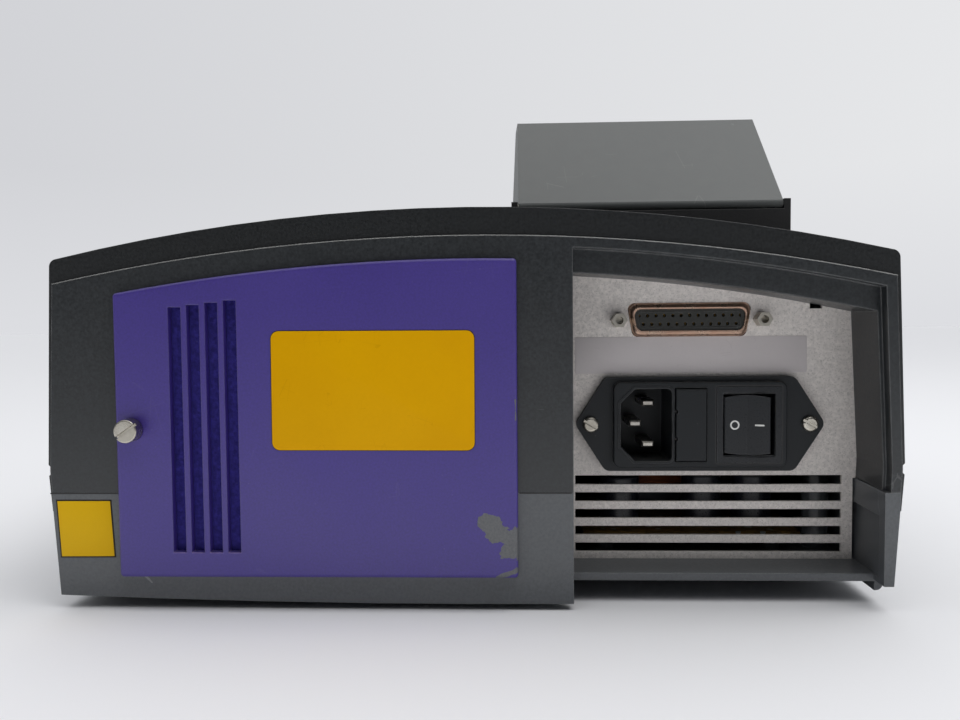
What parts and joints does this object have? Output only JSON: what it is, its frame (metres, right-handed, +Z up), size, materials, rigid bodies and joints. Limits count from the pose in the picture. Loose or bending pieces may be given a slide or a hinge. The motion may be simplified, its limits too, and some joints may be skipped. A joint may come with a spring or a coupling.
{
  "type": "uv-vis spectrophotometer",
  "caption": "Bench uv-vis spectrophotometer with a hinged sample hood, sloping keypad deck, vented lamp door, and a rear recess for mains inlet and data socket.",
  "frame": {"origin": "centre of the footprint, at the soles of the feet", "axes": "+Z up, -Y towards the operator, +Y out of the rear face with the sockets, +X to the operator's right"},
  "size_m": [0.2666, 0.39, 0.173],
  "materials": {
    "case_plastic": "textured charcoal moulding",
    "rubber_feet": "soft black rubber",
    "zinc_steel": "zinc plated steel, satin",
    "violet_paint": "violet paint, satin",
    "panel_sheet": "speckled grey paint on sheet",
    "socket_core": "moulded black",
    "inlet_plastic": "moulded black, satin",
    "contact_brass": "plated contacts",
    "rocker_plastic": "moulded black, polished",
    "well_plastic": "matt black inside",
    "hood_plastic": "smooth dark grey",
    "black_anodised": "black anodised",
    "bench_casting": "cast and machined",
    "lamp_glass": "clear",
    "motor_steel": "turned steel",
    "mirror_coat": "aluminised",
    "circuit_board": "green solder resist",
    "fan_plastic": "black moulding",
    "core_steel": "varnished laminations",
    "fascia_plastic": "smooth satin grey",
    "window_pane": "tinted clear pane",
    "display_face": "grey green display",
    "key_plastic": "pale grey moulding",
    "start_plastic": "green moulding",
    "stop_plastic": "red moulding"
  },
  "bodies": {
    "housing": {"base_pan": "case_plastic", "feet": "rubber_feet", "case_screws": "zinc_steel", "top_cover": "case_plastic", "rear_frame": "case_plastic", "connector_panel": "panel_sheet", "interface_shell": "zinc_steel", "interface_core": "socket_core", "jack_nuts": "zinc_steel", "inlet_body": "inlet_plastic", "inlet_blades": "contact_brass", "inlet_screws": "zinc_steel", "sample_well": "well_plastic", "lid_pins": "zinc_steel", "cell_holder": "black_anodised", "optical_bench": "bench_casting", "uv_lamp": "lamp_glass", "uv_lamp_mount": "bench_casting", "visible_lamp": "lamp_glass", "filter_motor": "motor_steel", "grating_motor": "motor_steel", "mirrors": "mirror_coat", "slits": "black_anodised", "beam_lens": "lamp_glass", "detector_board": "circuit_board", "photodiode": "motor_steel", "fan_frame": "fan_plastic", "main_board": "circuit_board", "supply_board": "circuit_board", "mains_transformer": "core_steel", "fascia": "fascia_plastic", "display_window": "window_pane", "display_module": "display_face", "key_board": "circuit_board"},
    "lid": {"sample_lid": "hood_plastic"},
    "rocker": {"power_rocker": "rocker_plastic"},
    "drawer": {"fuse_drawer": "inlet_plastic", "fuse": "lamp_glass"},
    "lamp_door": {"lamp_cover": "violet_paint"},
    "thumb_screw": {"lamp_cover_screw": "zinc_steel"},
    "fan": {"fan_rotor": "fan_plastic"},
    "wheel": {"filter_wheel": "black_anodised"},
    "turntable": {"grating_table": "black_anodised", "grating": "mirror_coat"},
    "key_0_cap": {"key_0": "key_plastic"},
    "key_1_cap": {"key_1": "key_plastic"},
    "key_2_cap": {"key_2": "key_plastic"},
    "key_3_cap": {"key_3": "key_plastic"},
    "key_4_cap": {"key_4": "key_plastic"},
    "key_5_cap": {"key_5": "key_plastic"},
    "key_6_cap": {"key_6": "key_plastic"},
    "key_7_cap": {"key_7": "key_plastic"},
    "key_8_cap": {"key_8": "key_plastic"},
    "key_9_cap": {"key_9": "key_plastic"},
    "key_point_cap": {"key_point": "key_plastic"},
    "key_minus_cap": {"key_minus": "key_plastic"},
    "key_start_cap": {"key_start": "start_plastic"},
    "key_stop_cap": {"key_stop": "stop_plastic"}
  },
  "joints": [
    {"name": "lid_hinge", "type": "hinge", "parent": "housing", "child": "lid", "pos_m": [-0.0655, 0.12515, 0.1328], "axis": [-1, 0, 0], "range_deg": [0, 100]},
    {"name": "rocker_pivot", "type": "hinge", "parent": "housing", "child": "rocker", "pos_m": [-0.09115, 0.1626, 0.0555], "axis": [0, 0, 1], "range_deg": [0, 16]},
    {"name": "drawer_slide", "type": "slide", "parent": "housing", "child": "drawer", "axis": [0, 1, 0], "range_m": [0, 0.02]},
    {"name": "lamp_door_slide", "type": "slide", "parent": "housing", "child": "lamp_door", "axis": [0, 1, 0], "range_m": [0, 0.06]},
    {"name": "thumb_screw_turn", "type": "hinge", "parent": "lamp_door", "child": "thumb_screw", "pos_m": [0.1042, 0.19, 0.0575], "axis": [0, 1, 0], "continuous": true},
    {"name": "fan_spin", "type": "hinge", "parent": "housing", "child": "fan", "pos_m": [0.073, 0.175, 0.0595], "axis": [0, 1, 0], "continuous": true},
    {"name": "wheel_turn", "type": "hinge", "parent": "housing", "child": "wheel", "pos_m": [0.012, 0.092, 0.097], "axis": [1, 0, 0], "continuous": true},
    {"name": "grating_turn", "type": "hinge", "parent": "housing", "child": "turntable", "pos_m": [0.072, 0.036, 0.07], "axis": [0, 0, 1], "range_deg": [-25, 40]},
    {"name": "key_0_press", "type": "slide", "parent": "housing", "child": "key_0_cap", "axis": [0, 0.4067, -0.9135], "range_m": [0, 0.0012], "stiffness_N_per_m": 250, "springref_m": -0.0003},
    {"name": "key_1_press", "type": "slide", "parent": "housing", "child": "key_1_cap", "axis": [0, 0.4067, -0.9135], "range_m": [0, 0.0012], "stiffness_N_per_m": 250, "springref_m": -0.0003},
    {"name": "key_2_press", "type": "slide", "parent": "housing", "child": "key_2_cap", "axis": [0, 0.4067, -0.9135], "range_m": [0, 0.0012], "stiffness_N_per_m": 250, "springref_m": -0.0003},
    {"name": "key_3_press", "type": "slide", "parent": "housing", "child": "key_3_cap", "axis": [0, 0.4067, -0.9135], "range_m": [0, 0.0012], "stiffness_N_per_m": 250, "springref_m": -0.0003},
    {"name": "key_4_press", "type": "slide", "parent": "housing", "child": "key_4_cap", "axis": [0, 0.4067, -0.9135], "range_m": [0, 0.0012], "stiffness_N_per_m": 250, "springref_m": -0.0003},
    {"name": "key_5_press", "type": "slide", "parent": "housing", "child": "key_5_cap", "axis": [0, 0.4067, -0.9135], "range_m": [0, 0.0012], "stiffness_N_per_m": 250, "springref_m": -0.0003},
    {"name": "key_6_press", "type": "slide", "parent": "housing", "child": "key_6_cap", "axis": [0, 0.4067, -0.9135], "range_m": [0, 0.0012], "stiffness_N_per_m": 250, "springref_m": -0.0003},
    {"name": "key_7_press", "type": "slide", "parent": "housing", "child": "key_7_cap", "axis": [0, 0.4067, -0.9135], "range_m": [0, 0.0012], "stiffness_N_per_m": 250, "springref_m": -0.0003},
    {"name": "key_8_press", "type": "slide", "parent": "housing", "child": "key_8_cap", "axis": [0, 0.4067, -0.9135], "range_m": [0, 0.0012], "stiffness_N_per_m": 250, "springref_m": -0.0003},
    {"name": "key_9_press", "type": "slide", "parent": "housing", "child": "key_9_cap", "axis": [0, 0.4067, -0.9135], "range_m": [0, 0.0012], "stiffness_N_per_m": 250, "springref_m": -0.0003},
    {"name": "key_point_press", "type": "slide", "parent": "housing", "child": "key_point_cap", "axis": [0, 0.4067, -0.9135], "range_m": [0, 0.0012], "stiffness_N_per_m": 250, "springref_m": -0.0003},
    {"name": "key_minus_press", "type": "slide", "parent": "housing", "child": "key_minus_cap", "axis": [0, 0.4067, -0.9135], "range_m": [0, 0.0012], "stiffness_N_per_m": 250, "springref_m": -0.0003},
    {"name": "key_start_press", "type": "slide", "parent": "housing", "child": "key_start_cap", "axis": [0, 0.4067, -0.9135], "range_m": [0, 0.0012], "stiffness_N_per_m": 250, "springref_m": -0.0003},
    {"name": "key_stop_press", "type": "slide", "parent": "housing", "child": "key_stop_cap", "axis": [0, 0.4067, -0.9135], "range_m": [0, 0.0012], "stiffness_N_per_m": 250, "springref_m": -0.0003}
  ]
}
